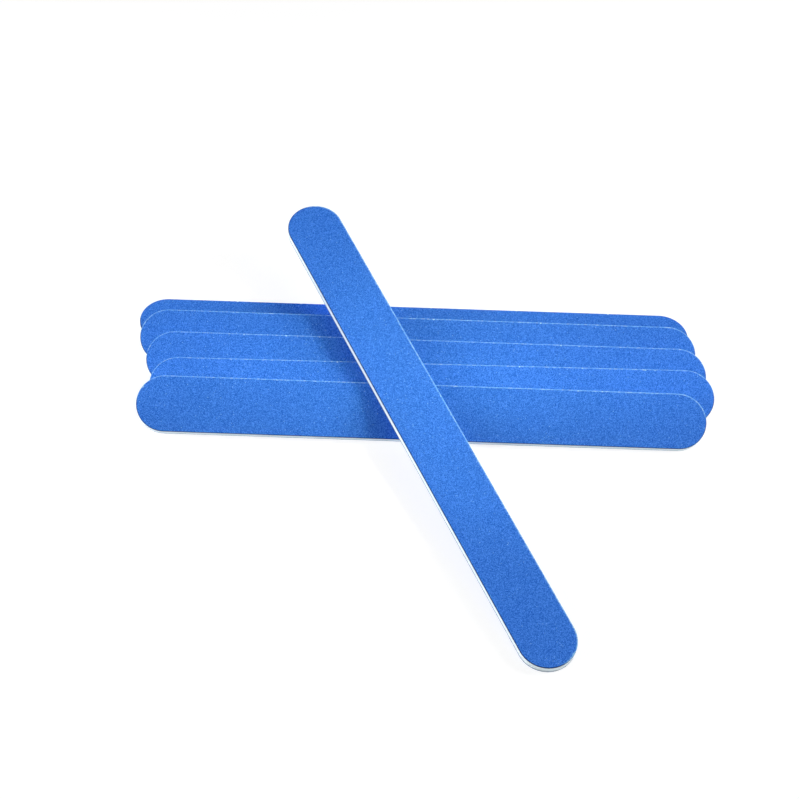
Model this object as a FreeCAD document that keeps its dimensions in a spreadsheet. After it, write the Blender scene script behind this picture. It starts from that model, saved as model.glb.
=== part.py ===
import FreeCAD, Part
import Sketcher
import math
import os

# Six straight nail files of one kind, as they lie on a table. The back file lies flat. Four more
# lean on each other's front edges, each one step further forward, and the sixth lies across them.
# X runs along the pile, Y from the front to the back and Z up. The origin is the centre of the
# back file's underside.

# Lengths are in millimetres and angles in degrees. A step is how far a file's foot line, where it
# meets the table, lies in front of the one before. A shift is along X. An angle is a file's turn
# from X within the plane that it lies in.
sizes = {
    "file_length": 178.0,
    "file_width": 17.8,
    "core_thickness": 2.0,
    "adhesive_thickness": 0.05,
    "paper_thickness": 0.35,
    "grit_thickness": 0.15,
    "resting_clearance": 0.15,
    "second_file_step": 7.8,
    "second_file_shift": 1.0,
    "second_file_angle": -0.1,
    "third_file_step": 8.9,
    "third_file_shift": 3.6,
    "third_file_angle": -0.1,
    "fourth_file_step": 10.0,
    "fourth_file_shift": 5.3,
    "fourth_file_angle": 0.4,
    "front_file_step": 8.2,
    "front_file_shift": 1.9,
    "front_file_angle": -0.2,
    "crossing_file_step": 80.1,
    "crossing_file_shift": 1.9,
    "crossing_file_angle": 116.2,
}

# The laminate from the underside up: each layer with the size that gives its thickness.
layers = [
    ("lower_grit_coat", "grit_thickness"),
    ("lower_paper_backing", "paper_thickness"),
    ("lower_adhesive_film", "adhesive_thickness"),
    ("foam_core", "core_thickness"),
    ("upper_adhesive_film", "adhesive_thickness"),
    ("upper_paper_backing", "paper_thickness"),
    ("upper_grit_coat", "grit_thickness"),
]

leaning_files = ["second_file", "third_file", "fourth_file", "front_file"]

doc = FreeCAD.newDocument("NailFiles")
sheet = doc.addObject("Spreadsheet::Sheet", "Sizes")
for row, (name, value) in enumerate(sizes.items(), start=1):
    sheet.set("A" + str(row), name)
    sheet.set("B" + str(row), str(value))
    sheet.setAlias("B" + str(row), name)
doc.recompute()

end_radius = sheet.file_width / 2
half_straight = sheet.file_length / 2 - end_radius
file_thickness = sum(sheet.get(thickness) for layer, thickness in layers)


def origin_plane(body, role):
    for feature in body.Origin.OriginFeatures:
        if feature.Role == role:
            return feature
    raise ValueError("no plane " + role)


# The outline of every layer: two long edges joined by half circles, centred on the origin.
def draw_outline(sketch):
    up = FreeCAD.Vector(0, 0, 1)
    right_end = FreeCAD.Vector(half_straight, 0, 0)
    left_end = FreeCAD.Vector(-half_straight, 0, 0)
    half_width = FreeCAD.Vector(0, end_radius, 0)
    quarter = math.pi / 2
    front_edge = Part.LineSegment(left_end - half_width, right_end - half_width)
    right_round = Part.ArcOfCircle(Part.Circle(right_end, up, end_radius), -quarter, quarter)
    back_edge = Part.LineSegment(right_end + half_width, left_end + half_width)
    left_round = Part.ArcOfCircle(Part.Circle(left_end, up, end_radius), quarter, 3 * quarter)
    sketch.addGeometry([front_edge, right_round, back_edge, left_round], False)
    for edge in range(4):
        sketch.addConstraint(Sketcher.Constraint("Tangent", edge, 2, (edge + 1) % 4, 1))
    sketch.addConstraint(Sketcher.Constraint("Horizontal", 0))
    sketch.addConstraint(Sketcher.Constraint("Horizontal", 2))
    sketch.addConstraint(Sketcher.Constraint("Symmetric", 1, 3, 3, 3, -1, 1))
    radius = sketch.addConstraint(Sketcher.Constraint("Radius", 1, end_radius))
    spread = sketch.addConstraint(Sketcher.Constraint("DistanceX", 3, 3, 1, 3, 2 * half_straight))
    sketch.setExpression("Constraints[" + str(radius) + "]", "Sizes.file_width / 2")
    sketch.setExpression("Constraints[" + str(spread) + "]", "Sizes.file_length - Sizes.file_width")


# One layer of a file: the outline, raised by the layers below it and padded to its thickness.
def make_layer(node, thickness, below):
    body = doc.addObject("PartDesign::Body", node)
    body.Label = node
    sketch = body.newObject("Sketcher::SketchObject", node + "_outline")
    sketch.AttachmentSupport = [(origin_plane(body, "XY_Plane"), "")]
    sketch.MapMode = "FlatFace"
    draw_outline(sketch)
    if below:
        sketch.setExpression("AttachmentOffset.Base.z", " + ".join("Sizes." + size for size in below))
    pad = body.newObject("PartDesign::Pad", node + "_pad")
    pad.Profile = sketch
    pad.setExpression("Length", "Sizes." + thickness)
    body.Tip = pad
    return body


# All the layers of one file, bottom to top, in the file's place.
def make_file(name, place):
    bodies = []
    below = []
    for layer, thickness in layers:
        body = make_layer(name + "_" + layer, thickness, below)
        body.Placement = place
        bodies.append(body)
        below.append(thickness)
    return bodies


# How far a file at an angle reaches from its centre, square to the foot line.
def half_reach(angle):
    return end_radius + half_straight * abs(math.sin(math.radians(angle)))


# A file's place: its plane rises from the foot line by the tilt, and its lowest point is on the
# foot line.
def file_place(foot, shift, angle, tilt):
    rise = FreeCAD.Rotation(FreeCAD.Vector(1, 0, 0), tilt)
    spin = FreeCAD.Rotation(FreeCAD.Vector(0, 0, 1), angle)
    centre = rise.multVec(FreeCAD.Vector(shift, half_reach(angle), 0))
    return FreeCAD.Placement(centre + FreeCAD.Vector(0, foot, 0), rise.multiply(spin))


# The front and back edges of a file's upper face, as points seen along X.
def upper_edges(foot, angle, tilt):
    rise = FreeCAD.Rotation(FreeCAD.Vector(1, 0, 0), tilt)
    front = rise.multVec(FreeCAD.Vector(0, 0, file_thickness))
    back = rise.multVec(FreeCAD.Vector(0, 2 * half_reach(angle), file_thickness))
    return [edge + FreeCAD.Vector(0, foot, 0) for edge in (front, back)]


# The tilt at which a plane from the foot line passes over edges with the resting clearance.
def resting_tilt(foot, edges):
    tilts = []
    for edge in edges:
        forward = edge.y - foot
        distance = math.hypot(forward, edge.z)
        rise = math.atan2(edge.z, forward) + math.asin(sheet.resting_clearance / distance)
        tilts.append(math.degrees(rise))
    return max(tilts)


foot = -half_reach(0)
edges = upper_edges(foot, 0, 0)
bodies = make_file("back_file", file_place(foot, 0, 0, 0))
ridges = [edges[1]]
for name in leaning_files:
    foot = foot - sheet.get(name + "_step")
    angle = sheet.get(name + "_angle")
    tilt = resting_tilt(foot, edges)
    print(name, "tilt", round(tilt, 2), "degrees")
    bodies += make_file(name, file_place(foot, sheet.get(name + "_shift"), angle, tilt))
    edges = upper_edges(foot, angle, tilt)
    ridges.append(edges[1])

# The crossing file stands on its near end and rests on the highest of the pile's back edges.
foot = foot - sheet.crossing_file_step
tilt = resting_tilt(foot, ridges)
print("crossing_file tilt", round(tilt, 2), "degrees")
place = file_place(foot, sheet.crossing_file_shift, sheet.crossing_file_angle, tilt)
bodies += make_file("crossing_file", place)

doc.recompute()

for item in doc.Objects:
    if "Invalid" in item.State or "Error" in item.State:
        raise RuntimeError(item.Label + " failed to build")
for body in bodies:
    if body.Shape.isNull() or not body.Shape.isValid() or len(body.Shape.Solids) != 1:
        raise RuntimeError(body.Label + " is not one valid solid")

os.makedirs("parts", exist_ok=True)
for body in bodies:
    body.Shape.exportStep(os.path.join("parts", body.Label + ".step"))
print(len(bodies), "parts written")
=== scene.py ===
import math

import bmesh
import bpy
from mathutils import Matrix, Vector, noise


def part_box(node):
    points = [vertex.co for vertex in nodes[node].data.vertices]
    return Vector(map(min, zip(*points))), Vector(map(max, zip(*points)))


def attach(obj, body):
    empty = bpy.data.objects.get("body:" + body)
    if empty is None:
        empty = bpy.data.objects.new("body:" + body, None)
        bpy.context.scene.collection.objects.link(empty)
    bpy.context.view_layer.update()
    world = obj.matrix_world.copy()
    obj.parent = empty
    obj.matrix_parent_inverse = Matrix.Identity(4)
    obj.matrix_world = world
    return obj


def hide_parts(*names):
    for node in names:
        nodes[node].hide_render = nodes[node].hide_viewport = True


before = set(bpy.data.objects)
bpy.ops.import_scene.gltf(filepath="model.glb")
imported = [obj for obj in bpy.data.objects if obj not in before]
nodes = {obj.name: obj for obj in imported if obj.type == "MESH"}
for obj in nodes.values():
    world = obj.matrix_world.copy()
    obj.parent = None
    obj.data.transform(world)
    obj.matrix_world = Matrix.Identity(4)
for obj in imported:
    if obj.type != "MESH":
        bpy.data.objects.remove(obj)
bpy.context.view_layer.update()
mm = 0.001

fileNames = ["back_file", "second_file", "third_file", "fourth_file", "front_file", "crossing_file"]


def toLinear(hexColour):
    channels = [int(hexColour[i:i + 2], 16) / 255 for i in (1, 3, 5)]
    return [c / 12.92 if c <= 0.04045 else ((c + 0.055) / 1.055) ** 2.4 for c in channels] + [1.0]


# settings go to an input of that name or number, or else to the node itself
def addNode(tree, kind, settings=None, links=None):
    node = tree.nodes.new(kind)
    for key, value in (settings or {}).items():
        if isinstance(key, int) or key in node.inputs:
            node.inputs[key].default_value = value
        else:
            setattr(node, key, value)
    for key, source in (links or {}).items():
        tree.links.new(source, node.inputs[key])
    return node


def newMaterial(name):
    material = bpy.data.materials.new(name)
    material.use_nodes = True
    material.node_tree.nodes.clear()
    return material, material.node_tree


# Object coordinates in millimetres, so that every scale below is a real size
def millimetres(tree):
    coordinates = addNode(tree, "ShaderNodeTexCoord")
    mapping = addNode(tree, "ShaderNodeMapping", {"Scale": (1 / mm,) * 3},
                      {"Vector": coordinates.outputs["Object"]})
    return mapping.outputs["Vector"]


print("frame loaded:", len(nodes), "CAD nodes")

# Electro-coated aluminium oxide in a blue resin size coat: matt and even from afar, with a fine
# salt-and-pepper grain. Real grains of 0.1 mm are too fine to show, so they are drawn as 0.18 mm.
# Here and in the other materials an inner dictionary holds the settings of one node.
abrasive = {
    "deepBlue": "#0457cd",
    "lightBlue": "#549bff",
    "bareGrain": "#8fd0ff",
    "cutEdgeAndShade": "#0f2c60",
    "paleBurrHighlight": "#79c0ff",
    "chippedBurrHighlight": "#b6e4ff",
    "flakeAndGlint": "#c8fcff",
    "grainMm": 0.18,
    "grainRelief": {"Strength": 0.25, "Distance": 0.05 * mm},
    "bareShare": {"From Min": 0.9965, "From Max": 0.9985},
    "clumpMm": 1.1,
    "clumping": 0.2,
    "toneMm": 26,
    "toneDrift": {"From Min": 0.3, "From Max": 0.7, "To Min": 0.97, "To Max": 1.03},
    "chipMm": 0.6,
    "chipShare": {"From Min": 0.5, "From Max": 0.6},
    "flakeMm": 0.5,
    "flakeShare": {"From Min": 0.988, "From Max": 0.992},
    "roughness": {"To Min": 0.56, "To Max": 0.84},
    "specular": 0.15,
}


def coatedAbrasive():
    material, tree = newMaterial("blueAluminiumOxideCoat")
    position = millimetres(tree)
    # each grain has a shade of its own, moved a little where grains clump
    grains = addNode(tree, "ShaderNodeTexVoronoi", {"Scale": 1 / abrasive["grainMm"]}, {"Vector": position})
    grainValues = addNode(tree, "ShaderNodeSeparateColor", links={"Color": grains.outputs["Color"]})
    clumps = addNode(tree, "ShaderNodeTexNoise", {"Scale": 1 / abrasive["clumpMm"], "Detail": 2},
                     {"Vector": position})
    clumped = addNode(tree, "ShaderNodeMath",
                      {"operation": "MULTIPLY_ADD", 1: abrasive["clumping"], 2: -abrasive["clumping"] / 2},
                      {0: clumps.outputs["Fac"]})
    shade = addNode(tree, "ShaderNodeMath", {"operation": "ADD"},
                    {0: grainValues.outputs["Red"], 1: clumped.outputs[0]})
    blue = addNode(tree, "ShaderNodeMix",
                   {"data_type": "RGBA", 6: toLinear(abrasive["deepBlue"]),
                    7: toLinear(abrasive["lightBlue"])},
                   {0: shade.outputs[0]})
    # one grain in a few hundred stands bare of resin
    bare = addNode(tree, "ShaderNodeMapRange", abrasive["bareShare"], {"Value": grainValues.outputs["Green"]})
    grained = addNode(tree, "ShaderNodeMix", {"data_type": "RGBA", 7: toLinear(abrasive["bareGrain"])},
                      {0: bare.outputs["Result"], 6: blue.outputs[2]})
    # the resin's depth of colour drifts a little over a sheet, times each file's tone, which is partly
    # painted light and shade
    tone = addNode(tree, "ShaderNodeTexNoise", {"Scale": 1 / abrasive["toneMm"], "Detail": 1},
                   {"Vector": position})
    drift = addNode(tree, "ShaderNodeMapRange", abrasive["toneDrift"], {"Value": tone.outputs["Fac"]})
    fileToneAndShade = addNode(tree, "ShaderNodeAttribute", {"attribute_name": "toneAndShade"})
    toneAndShade = addNode(tree, "ShaderNodeMath", {"operation": "MULTIPLY"},
                    {0: fileToneAndShade.outputs["Fac"], 1: drift.outputs["Result"]})
    toned = addNode(tree, "ShaderNodeVectorMath", {"operation": "SCALE"},
                    {0: grained.outputs[2], "Scale": toneAndShade.outputs[0]})
    # the cut side of the coat is dark, and so is a band along the top of the front rim, which is painted
    # shade where the rim turns away from the light
    side = addNode(tree, "ShaderNodeAttribute", {"attribute_name": "side"})
    cut = addNode(tree, "ShaderNodeMix", {"data_type": "RGBA", 7: toLinear(abrasive["cutEdgeAndShade"])},
                  {0: side.outputs["Fac"], 6: toned.outputs["Vector"]})
    # the burr along the back rim is pale, and paler still where it chips: partly its own colour and partly a
    # painted highlight where light from behind catches the rim
    chips = addNode(tree, "ShaderNodeTexNoise",
                    {"Scale": 1 / abrasive["chipMm"], "Detail": 3, "Roughness": 0.7}, {"Vector": position})
    chipped = addNode(tree, "ShaderNodeMapRange", abrasive["chipShare"], {"Value": chips.outputs["Fac"]})
    pale = addNode(tree, "ShaderNodeMix",
                   {"data_type": "RGBA", 6: toLinear(abrasive["paleBurrHighlight"]),
                    7: toLinear(abrasive["chippedBurrHighlight"])},
                   {0: chipped.outputs["Result"]})
    rim = addNode(tree, "ShaderNodeAttribute", {"attribute_name": "rim"})
    rimmed = addNode(tree, "ShaderNodeMix", {"data_type": "RGBA"},
                     {0: rim.outputs["Fac"], 6: cut.outputs[2], 7: pale.outputs[2]})
    # an odd nearly white fleck on the back burr: partly a flake broken out of it and partly a painted glint
    flakes = addNode(tree, "ShaderNodeTexVoronoi", {"Scale": 1 / abrasive["flakeMm"]}, {"Vector": position})
    flakeValues = addNode(tree, "ShaderNodeSeparateColor", links={"Color": flakes.outputs["Color"]})
    flakeAndGlintSpots = addNode(tree, "ShaderNodeMapRange", abrasive["flakeShare"],
                     {"Value": flakeValues.outputs["Red"]})
    edge = addNode(tree, "ShaderNodeAttribute", {"attribute_name": "edge"})
    flakeAndGlintMask = addNode(tree, "ShaderNodeMath", {"operation": "MULTIPLY"},
                     {0: edge.outputs["Fac"], 1: flakeAndGlintSpots.outputs["Result"]})
    finished = addNode(tree, "ShaderNodeMix", {"data_type": "RGBA", 7: toLinear(abrasive["flakeAndGlint"])},
                       {0: flakeAndGlintMask.outputs[0], 6: rimmed.outputs[2]})
    # each grain peaks out of the resin, and has a gloss of its own
    height = addNode(tree, "ShaderNodeMath", {"operation": "SUBTRACT", 0: 1.0},
                     {1: grains.outputs["Distance"]})
    bump = addNode(tree, "ShaderNodeBump", abrasive["grainRelief"], {"Height": height.outputs[0]})
    gloss = addNode(tree, "ShaderNodeMapRange", abrasive["roughness"], {"Value": grainValues.outputs["Blue"]})
    surface = addNode(tree, "ShaderNodeBsdfPrincipled", {"Specular IOR Level": abrasive["specular"]},
                      {"Base Color": finished.outputs[2], "Roughness": gloss.outputs["Result"],
                       "Normal": bump.outputs["Normal"]})
    addNode(tree, "ShaderNodeOutputMaterial", links={"Surface": surface.outputs["BSDF"]})
    return material


# Dyed latex-impregnated paper, seen only as its cut edge: darker than the coat, with paler fibres in it
paper = {
    "edge": "#0d2550",
    "fibre": "#234a8c",
    "fibreMm": 0.5,
    "fibreShare": {"From Min": 0.35, "From Max": 0.65},
    "fibreRelief": {"Strength": 0.3, "Distance": 0.03 * mm},
    "finish": {"Roughness": 0.85, "Specular IOR Level": 0.25},
}


def latexPaper():
    material, tree = newMaterial("dyedLatexPaper")
    position = millimetres(tree)
    fibres = addNode(tree, "ShaderNodeTexNoise",
                     {"Scale": 1 / paper["fibreMm"], "Detail": 4, "Roughness": 0.7}, {"Vector": position})
    bare = addNode(tree, "ShaderNodeMapRange", paper["fibreShare"], {"Value": fibres.outputs["Fac"]})
    colour = addNode(tree, "ShaderNodeMix",
                     {"data_type": "RGBA", 6: toLinear(paper["edge"]), 7: toLinear(paper["fibre"])},
                     {0: bare.outputs["Result"]})
    bump = addNode(tree, "ShaderNodeBump", paper["fibreRelief"], {"Height": fibres.outputs["Fac"]})
    surface = addNode(tree, "ShaderNodeBsdfPrincipled", paper["finish"],
                      {"Base Color": colour.outputs[2], "Normal": bump.outputs["Normal"]})
    addNode(tree, "ShaderNodeOutputMaterial", links={"Surface": surface.outputs["BSDF"]})
    return material


# Clear acrylic transfer adhesive, a milky hairline between paper and foam
adhesive = {
    "film": "#dfe9f2",
    "smear": "#b9d0ec",
    "smearsPerMm": 1.3,
    "finish": {"Roughness": 0.35},
}


def acrylicAdhesive():
    material, tree = newMaterial("acrylicAdhesive")
    position = millimetres(tree)
    smears = addNode(tree, "ShaderNodeTexNoise", {"Scale": adhesive["smearsPerMm"], "Detail": 2},
                     {"Vector": position})
    colour = addNode(tree, "ShaderNodeMix",
                     {"data_type": "RGBA", 6: toLinear(adhesive["film"]), 7: toLinear(adhesive["smear"])},
                     {0: smears.outputs["Fac"]})
    surface = addNode(tree, "ShaderNodeBsdfPrincipled", adhesive["finish"], {"Base Color": colour.outputs[2]})
    addNode(tree, "ShaderNodeOutputMaterial", links={"Surface": surface.outputs["BSDF"]})
    return material


# Closed-cell EVA foam, die-cut: soft white, matt, with the open cells of the cut face
foam = {
    "white": "#f0fcff",
    "cellShade": "#e6f5fb",
    "dust": "#cbe2f8",
    "cellMm": 0.22,
    "cellWalls": {"From Min": 0.1, "From Max": 0.7},
    "cellRelief": {"Strength": 0.5, "Distance": 0.05 * mm},
    "dustPatchesPerMm": 0.45,
    "dustShare": {"From Min": 0.54, "From Max": 0.8, "To Max": 0.3},
    "finish": {"Roughness": 0.9, "Specular IOR Level": 0.2, "Subsurface Weight": 0.15,
               "Subsurface Radius": (0.6 * mm,) * 3, "Subsurface Scale": 1.0},
}


def evaFoam():
    material, tree = newMaterial("evaFoam")
    position = millimetres(tree)
    cells = addNode(tree, "ShaderNodeTexVoronoi", {"Scale": 1 / foam["cellMm"]}, {"Vector": position})
    walls = addNode(tree, "ShaderNodeMapRange", foam["cellWalls"], {"Value": cells.outputs["Distance"]})
    white = addNode(tree, "ShaderNodeMix",
                    {"data_type": "RGBA", 6: toLinear(foam["white"]), 7: toLinear(foam["cellShade"])},
                    {0: walls.outputs["Result"]})
    # blue dust from the cut coats clings in patches
    patches = addNode(tree, "ShaderNodeTexNoise",
                      {"Scale": foam["dustPatchesPerMm"], "Detail": 4, "Roughness": 0.65},
                      {"Vector": position})
    dusted = addNode(tree, "ShaderNodeMapRange", foam["dustShare"], {"Value": patches.outputs["Fac"]})
    colour = addNode(tree, "ShaderNodeMix", {"data_type": "RGBA", 7: toLinear(foam["dust"])},
                     {0: dusted.outputs["Result"], 6: white.outputs[2]})
    bump = addNode(tree, "ShaderNodeBump", foam["cellRelief"], {"Height": cells.outputs["Distance"]})
    surface = addNode(tree, "ShaderNodeBsdfPrincipled", foam["finish"],
                      {"Base Color": colour.outputs[2], "Normal": bump.outputs["Normal"]})
    addNode(tree, "ShaderNodeOutputMaterial", links={"Surface": surface.outputs["BSDF"]})
    return material


coatMaterial = coatedAbrasive()
paperMaterial = latexPaper()
adhesiveMaterial = acrylicAdhesive()
foamMaterial = evaFoam()
print("materials made")

# The back file lies flat and square, so its nodes give the sizes that all the files share
coreLow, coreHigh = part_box("back_file_foam_core")
coatLow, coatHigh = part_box("back_file_upper_grit_coat")
fileRadius = (coreHigh.y - coreLow.y) / 2
halfRun = (coreHigh.x - coreLow.x) / 2 - fileRadius
middleHeight = (coreLow.z + coreHigh.z) / 2


# A file's place, from the flat faces of its core: the widest pair gives Z, the next pair Y
def filePlace(name):
    mesh = nodes[name + "_foam_core"].data
    areas = {}
    for polygon in mesh.polygons:
        key = tuple(round(n, 3) for n in polygon.normal)
        area, total = areas.get(key, (0, Vector()))
        areas[key] = (area + polygon.area, total + polygon.normal * polygon.area)
    widest = sorted(areas.values(), key=lambda entry: -entry[0])
    up = widest[0][1].normalized()
    if up.z < 0:
        up.negate()
    along = widest[2][1].normalized().cross(up).normalized()
    if along.x < 0:
        along.negate()
    side = up.cross(along)
    centre = Vector()
    for axis in (along, side, up):
        reaches = [axis.dot(vertex.co) for vertex in mesh.vertices]
        centre += axis * (min(reaches) + max(reaches)) / 2
    place = Matrix((along, side, up)).transposed().to_4x4()
    place.translation = centre - up * middleHeight
    return place


# Two half circles spun from single points and joined by the long runs, as one upward face
def outlineFace(bm, height, spacing):
    steps = round(math.pi * fileRadius / spacing)
    ends = []
    for side in (1, -1):
        start = bm.verts.new((side * halfRun, -side * fileRadius, height))
        spun = bmesh.ops.spin(bm, geom=[start], cent=(side * halfRun, 0, height), axis=(0, 0, 1),
                              angle=math.pi, steps=steps, use_duplicate=False)
        last = [item for item in spun["geom_last"] if isinstance(item, bmesh.types.BMVert)][0]
        ends.append((start, last))
    runs = [bm.edges.new((ends[0][1], ends[1][0])), bm.edges.new((ends[1][1], ends[0][0]))]
    bmesh.ops.subdivide_edges(bm, edges=runs, cuts=round(2 * halfRun / spacing) - 1)
    face = bmesh.ops.contextual_create(bm, geom=bm.edges[:])["faces"][0]
    face.normal_update()
    if face.normal.z < 0:
        face.normal_flip()
    return face


# Raises the face by steps, leaving walls behind it, and gives the top face
def raiseFace(bm, face, rise, steps):
    for step in range(steps):
        made = bmesh.ops.extrude_face_region(bm, geom=[face])["geom"]
        face = [item for item in made if isinstance(item, bmesh.types.BMFace)][0]
        bmesh.ops.translate(bm, verts=face.verts[:], vec=(0, 0, rise / steps))
    return face


# How far inside the outline a point lies, and the way out from there
def insetOf(point):
    spine = Vector((max(-halfRun, min(halfRun, point.x)), 0, point.z))
    out = Vector((point.x - spine.x, point.y, 0))
    return fileRadius - out.length, out.normalized() if out.length else Vector()


def smoothstep(value, start, end):
    share = max(0.0, min(1.0, (value - start) / (end - start)))
    return share * share * (3 - 2 * share)


# Walls and rings are four-sided and shade smooth, and the broad faces stay flat
def closeAndSmooth(bm):
    boundary = [edge for edge in bm.edges if edge.is_boundary]
    bmesh.ops.holes_fill(bm, edges=boundary)
    bmesh.ops.recalc_face_normals(bm, faces=bm.faces[:])
    for polygon in bm.faces:
        polygon.smooth = len(polygon.verts) == 4


def finishPiece(bm, name, material, place, body, node):
    bmesh.ops.transform(bm, matrix=place, verts=bm.verts[:])
    mesh = bpy.data.meshes.new(name)
    bm.to_mesh(mesh)
    bm.free()
    mesh.materials.append(material)
    piece = bpy.data.objects.new(name, mesh)
    bpy.context.scene.collection.objects.link(piece)
    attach(piece, body)
    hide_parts(node)


# The coat of one face. The die comes down from one long side: there it presses the rim down, and along the
# other side, half round the ends, it leaves a thin burr. The pressed front rim carries a band of painted
# shade, and the back burr a pale line that is partly its own colour and partly a painted highlight
coat = {
    "spacing": 0.55 * mm,
    "wallRows": 2,
    "rings": [0.015, 0.02, 0.03, 0.035, 0.04, 0.06, 0.08, 0.1, 0.12, 0.3, 0.5],  # mm, from the rim inwards
    "cornerRadius": 0.1 * mm,
    "cornerShare": 0.8,
    "cornerLost": 0.4,  # to the burr
    "rollWidth": 1.2 * mm,
    "rollDrop": 0.05 * mm,
    "rollLost": 0.6,  # to the burr
    "burrAndLitTurn": (-0.1, 0.5),  # where it starts and is full round an end: -1 is the front, 1 the back
    "burr": 0.03 * mm,
    "burrCrest": 0.05 * mm,
    "burrWidth": 0.28 * mm,
    "burrEven": 0.6,
    "burrRough": 1.3,
    "burrFine": 0.8,
    "roughMm": 0.8,
    "finePerMm": 2.6,
    "rimReach": 0.01 * mm,  # points this near the outline are moved a little
    "rimJitter": 0.02 * mm,
    "jitterFine": 0.6,
    "jitterInwards": 0.3,
    "paleWaver": 0.8,
    "paleFull": 0.5,  # the share of a line's width that has its full colour, here and in the next ones
    "flakeReach": 0.5 * mm,
    "flakeFull": 0.5,
    # the band of painted shade along the top of the front rim
    "darkWidth": 0.2 * mm,
    "darkFull": 0.4,
    "fileSeed": 37.0,  # no two coats have the same burr
    "sideSeed": 11.0,
}

# Fitted to the photograph: the tone of each upper face along its front and back edges, and the width of the
# pale line on its burr at the left and the right, mm. Some of the tone, and most of the front file's, is
# painted light and shade that the lamps don't give: the front file is painted darker towards its front edge.
# The rest is each file's own depth of colour. The pale line's width sets how wide its painted highlight is
faces = {
    "back_file": {"frontToneAndShade": 0.94, "backToneAndShade": 0.95, "leftPale": 0.08, "rightPale": 0.08},
    "second_file": {"frontToneAndShade": 0.97, "backToneAndShade": 0.97, "leftPale": 0.25, "rightPale": 0.3},
    "third_file": {"frontToneAndShade": 1.02, "backToneAndShade": 1.02, "leftPale": 0.23, "rightPale": 0.28},
    "fourth_file": {"frontToneAndShade": 1.06, "backToneAndShade": 1.09, "leftPale": 0.22, "rightPale": 0.29},
    "front_file": {"frontToneAndShade": 0.87, "backToneAndShade": 1.03, "leftPale": 0.24, "rightPale": 0.38},
    "crossing_file": {"frontToneAndShade": 1.0, "backToneAndShade": 1.0, "leftPale": 0.43, "rightPale": 0.43},
}


def makeCoat(name, side, place):
    bm = bmesh.new()
    # what the coat's material reads at each point
    rimLayer = bm.verts.layers.float.new("rim")
    sideLayer = bm.verts.layers.float.new("side")
    toneAndShadeLayer = bm.verts.layers.float.new("toneAndShade")
    edgeLayer = bm.verts.layers.float.new("edge")
    face = outlineFace(bm, coatLow.z, coat["spacing"])
    face = raiseFace(bm, face, coatHigh.z - coatLow.z, coat["wallRows"])
    for width in coat["rings"]:
        bmesh.ops.inset_region(bm, faces=[face], thickness=width * mm, use_even_offset=True,
                               use_boundary=True)
    closeAndSmooth(bm)
    seed = Vector((fileNames.index(name) * coat["fileSeed"], side * coat["sideSeed"], 0))
    radius = coat["cornerRadius"]
    reach = coat["flakeReach"]
    dark = coat["darkWidth"]
    look = faces[name]
    for vertex in bm.verts:
        # each file's tone across its width, partly painted light and shade
        across = 0.5 + vertex.co.y / (2 * fileRadius)
        vertex[toneAndShadeLayer] = look["frontToneAndShade"] + (look["backToneAndShade"] - look["frontToneAndShade"]) * across
        inset, out = insetOf(vertex.co)
        rough = noise.noise(vertex.co / mm / coat["roughMm"] + seed)
        fine = noise.noise(vertex.co / mm * coat["finePerMm"] + seed * 2)
        height = (vertex.co.z - coatLow.z) / (coatHigh.z - coatLow.z)
        if height > 1 - 0.5 / coat["wallRows"]:
            # 1 along the back and half round the ends, where the burr rises and the painted highlight and
            # painted glints go; 0 along the front, where the band of painted shade goes
            burrAndLitSide = smoothstep(out.y, *coat["burrAndLitTurn"])
            corner = radius - math.sqrt(max(0, radius ** 2 - max(0, radius - inset) ** 2))
            corner *= coat["cornerShare"] - coat["cornerLost"] * burrAndLitSide
            roll = coat["rollDrop"] * (1 - smoothstep(inset, 0, coat["rollWidth"]))
            roll *= 1 - coat["rollLost"] * burrAndLitSide
            burr = coat["burr"] * (1 - smoothstep(inset, coat["burrCrest"], coat["burrWidth"])) * burrAndLitSide
            burr *= coat["burrEven"] + coat["burrRough"] * rough + coat["burrFine"] * fine
            vertex.co.z += burr - roll - corner
            along = 0.5 + vertex.co.x / (2 * (halfRun + fileRadius))
            pale = (look["leftPale"] + (look["rightPale"] - look["leftPale"]) * along) * mm
            pale *= 1 + coat["paleWaver"] * fine
            vertex[rimLayer] = burrAndLitSide * (1 - smoothstep(inset, coat["paleFull"] * pale, pale))
            vertex[edgeLayer] = burrAndLitSide * (1 - smoothstep(inset, coat["flakeFull"] * reach, reach))
            vertex[sideLayer] = (1 - burrAndLitSide) * (1 - smoothstep(inset, coat["darkFull"] * dark, dark))
        else:
            vertex[sideLayer] = 1
        if inset < coat["rimReach"]:
            vertex.co += out * coat["rimJitter"] * (rough + coat["jitterFine"] * fine - coat["jitterInwards"])
    if side < 0:
        bmesh.ops.rotate(bm, verts=bm.verts[:], cent=(0, 0, middleHeight),
                         matrix=Matrix.Rotation(math.pi, 3, "X"))
    layer = name + ("_upper" if side > 0 else "_lower")
    finishPiece(bm, layer + "_abrasive", coatMaterial, place, name, layer + "_grit_coat")


# The core's wall: the blade drags the foam in a little between the papers and leaves it uneven, and its
# two lips spring back over the glue lines
core = {
    "spacing": 0.55 * mm,
    "rows": 10,
    "lipHeight": 0.08 * mm,
    "lipReach": 0.025 * mm,
    "hollow": 0.06 * mm,
    "waver": 0.05 * mm,
    "waverMean": 0.5,
    "waverMm": 6,
    "cellRelief": 0.03 * mm,
    "cellMm": 0.6,
    "unevenGrowth": 3,  # how fast the unevenness grows away from a lip
    "fileSeed": 53.0,  # no two cores have the same wall
    "coreSeed": 7.0,
}


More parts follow.
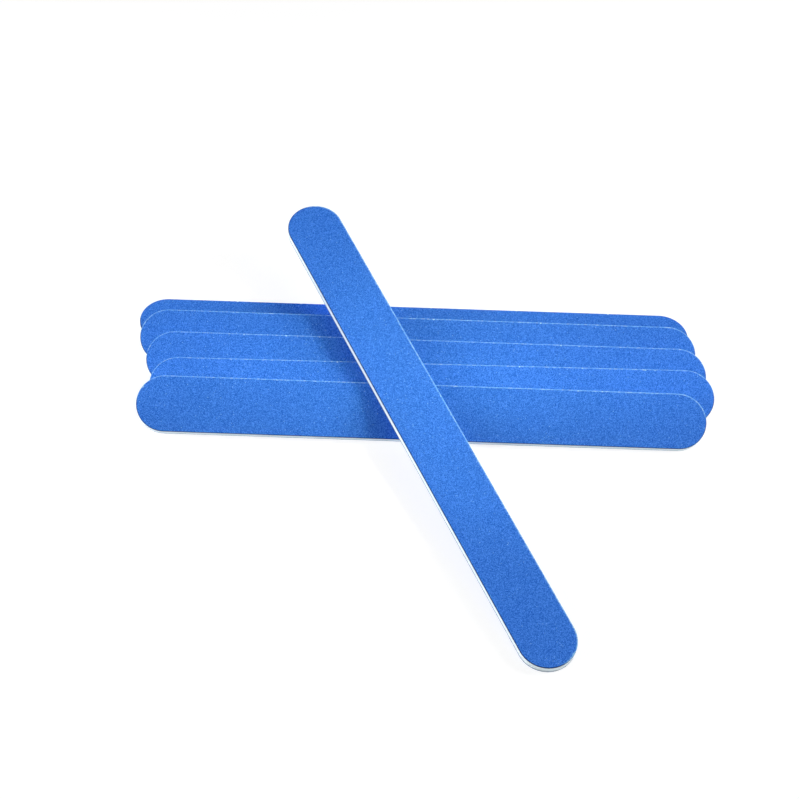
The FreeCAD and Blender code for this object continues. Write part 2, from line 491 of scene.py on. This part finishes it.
def makeCore(name, place):
    bm = bmesh.new()
    low = coreLow.z - core["lipHeight"]
    high = coreHigh.z + core["lipHeight"]
    face = outlineFace(bm, low, core["spacing"])
    raiseFace(bm, face, high - low, core["rows"])
    closeAndSmooth(bm)
    seed = Vector((fileNames.index(name) * core["fileSeed"], core["coreSeed"], 0))
    for vertex in bm.verts:
        out = insetOf(vertex.co)[1]
        share = (vertex.co.z - low) / (high - low)
        belly = 1 - (2 * share - 1) ** 2
        waver = core["waver"] * (core["waverMean"] + noise.noise(vertex.co / mm / core["waverMm"] + seed))
        cells = core["cellRelief"] * noise.noise(vertex.co / mm / core["cellMm"] + seed)
        vertex.co += out * (core["lipReach"] * (1 - belly) - core["hollow"] * belly)
        vertex.co -= out * (waver + cells) * min(1, core["unevenGrowth"] * belly)
    finishPiece(bm, name + "_foam_board", foamMaterial, place, name, name + "_foam_core")


for name in fileNames:
    place = filePlace(name)
    makeCoat(name, 1, place)
    makeCoat(name, -1, place)
    makeCore(name, place)
    for layer in ("upper", "lower"):
        for part, material in (("_paper_backing", paperMaterial), ("_adhesive_film", adhesiveMaterial)):
            mesh = nodes[name + "_" + layer + part].data
            mesh.materials.clear()
            mesh.materials.append(material)
print("files dressed:", len(fileNames))

# A plain floor of backlit acrylic. The camera sees it, and the world behind it, as white with a faint
# soft shadow, and to the object it is a pale matt sheet that glows softly
studio = {
    "floorSize": 6.0,
    "floorGap": 0.02 * mm,
    "floorColour": "#e1e1e1",
    "floorGlow": 0.5,
    "seenColour": "#909090",
    "seenGlow": 0.83,
    "fadeStart": 0.2,
    "fadeEnd": 0.6,
    "worldStrength": 0.02,
}


# 1 for the rays that show the white ground: to the camera, and in gloss and glass
def groundRays(tree):
    rays = addNode(tree, "ShaderNodeLightPath")
    share = rays.outputs["Is Camera Ray"]
    for kind in ("Is Glossy Ray", "Is Transmission Ray"):
        either = addNode(tree, "ShaderNodeMath", {"operation": "MAXIMUM"}, {0: share, 1: rays.outputs[kind]})
        share = either.outputs[0]
    return share


def backlitSheet():
    material, tree = newMaterial("backlitAcrylicSheet")
    # further out, where the lamps don't reach, the seen floor fades into the white behind it
    coordinates = addNode(tree, "ShaderNodeTexCoord")
    away = addNode(tree, "ShaderNodeVectorMath", {"operation": "LENGTH"}, {0: coordinates.outputs["Object"]})
    fade = addNode(tree, "ShaderNodeMapRange",
                   {"From Min": studio["fadeStart"], "From Max": studio["fadeEnd"],
                    "To Min": studio["seenGlow"]},
                   {"Value": away.outputs["Value"]})
    glow = addNode(tree, "ShaderNodeEmission", {"Strength": studio["floorGlow"]})
    seenGlow = addNode(tree, "ShaderNodeEmission", links={"Strength": fade.outputs["Result"]})
    sheets = []
    for colour, light in (("floorColour", glow), ("seenColour", seenGlow)):
        matt = addNode(tree, "ShaderNodeBsdfDiffuse", {"Color": toLinear(studio[colour])})
        sheets.append(addNode(tree, "ShaderNodeAddShader", links={0: matt.outputs[0], 1: light.outputs[0]}))
    mixed = addNode(tree, "ShaderNodeMixShader",
                    links={0: groundRays(tree), 1: sheets[0].outputs[0], 2: sheets[1].outputs[0]})
    addNode(tree, "ShaderNodeOutputMaterial", links={"Surface": mixed.outputs[0]})
    return material


def makeFloor():
    bm = bmesh.new()
    bmesh.ops.create_grid(bm, x_segments=1, y_segments=1, size=studio["floorSize"] / 2,
                          matrix=Matrix.Translation((0, 0, -studio["floorGap"])))
    mesh = bpy.data.meshes.new("studioFloor")
    bm.to_mesh(mesh)
    bm.free()
    mesh.materials.append(backlitSheet())
    floor = bpy.data.objects.new("studioFloor", mesh)
    bpy.context.scene.collection.objects.link(floor)


def makeWorld():
    world = bpy.data.worlds.new("studioWorld")
    world.use_nodes = True
    tree = world.node_tree
    tree.nodes.clear()
    light = addNode(tree, "ShaderNodeBackground",
                    {"Color": (1, 1, 1, 1), "Strength": studio["worldStrength"]})
    white = addNode(tree, "ShaderNodeBackground", {"Color": (1, 1, 1, 1), "Strength": 1.0})
    mixed = addNode(tree, "ShaderNodeMixShader",
                    links={0: groundRays(tree), 1: light.outputs[0], 2: white.outputs[0]})
    addNode(tree, "ShaderNodeOutputWorld", links={"Surface": mixed.outputs[0]})
    bpy.context.scene.world = world


# Soft boxes: place and size in metres, the angle that a grid narrows the light to, and the level that
# each gives a white sheet at the aim
softBoxes = {
    "leftBox": {
        "place": (-0.367, -0.232, 0.265), "size": 0.2, "spread": 180, "level": 0.16, "colour": "#ffffff"},
    "lowLeftBox": {
        "place": (-0.468, -0.015, 0.12), "size": 0.2, "spread": 180, "level": 0.16, "colour": "#ffffff"},
    "rightBox": {
        "place": (0.424, -0.02, 0.265), "size": 0.2, "spread": 180, "level": 0.365, "colour": "#ffffff"},
    "backBox": {
        "place": (0.125, 0.197, 0.433), "size": 0.2, "spread": 180, "level": 0.09, "colour": "#ffffff"},
    "griddedBox": {
        "place": (0.3, 0.02, 0.38), "size": 0.09, "spread": 15, "level": 0.93, "colour": "#fff2d6"},
}
aim = Vector((-0.005, -0.028, 0.008))


def makeSoftBoxes():
    for name, box in softBoxes.items():
        lamp = bpy.data.lights.new(name, "AREA")
        lamp.shape = "SQUARE"
        lamp.size = box["size"]
        lamp.spread = math.radians(box["spread"])
        lamp.color = toLinear(box["colour"])[:3]
        away = Vector(box["place"]) - aim
        lamp.energy = box["level"] * math.pi ** 2 * away.length ** 2 / away.normalized().z
        if box["spread"] < 180:
            # a narrowed lamp keeps its power, so the middle of its beam grows brighter, and this undoes it
            half = lamp.spread / 2
            lamp.energy *= 1 - half / math.tan(half)
        rig = bpy.data.objects.new(name, lamp)
        rig.location = box["place"]
        rig.rotation_euler = away.to_track_quat("Z", "Y").to_euler()
        rig.visible_camera = False
        bpy.context.scene.collection.objects.link(rig)


# The photograph's view: a long lens, well above the table, with a slight roll
view = {
    "target": Vector((-5.091, -26.922, 0)) * mm,
    "azimuth": math.radians(-4.002),
    "elevation": math.radians(52.413),
    "roll": math.radians(5.001),
    "distance": 606.5 * mm,
    "focalPixels": 1913.5,
    "framePixels": 799,
    "sensorWidth": 36,
    "nearestSeen": 10 * mm,
}


def makeCamera():
    azimuth, elevation = view["azimuth"], view["elevation"]
    back = Vector((math.sin(azimuth) * math.cos(elevation), -math.cos(azimuth) * math.cos(elevation),
                   math.sin(elevation)))
    level = Vector((math.cos(azimuth), math.sin(azimuth), 0))
    upright = back.cross(level)
    right = level * math.cos(view["roll"]) + upright * math.sin(view["roll"])
    up = back.cross(right)
    camera = bpy.data.cameras.new("camera")
    camera.sensor_width = view["sensorWidth"]
    camera.lens = view["focalPixels"] / view["framePixels"] * camera.sensor_width
    camera.clip_start = view["nearestSeen"]
    rig = bpy.data.objects.new("camera", camera)
    pose = Matrix((right, up, back)).transposed().to_4x4()
    pose.translation = view["target"] + back * view["distance"]
    rig.matrix_world = pose
    bpy.context.scene.collection.objects.link(rig)
    bpy.context.scene.camera = rig


makeFloor()
makeWorld()
makeSoftBoxes()
makeCamera()
bpy.context.scene.view_settings.view_transform = "Standard"
print("studio ready")
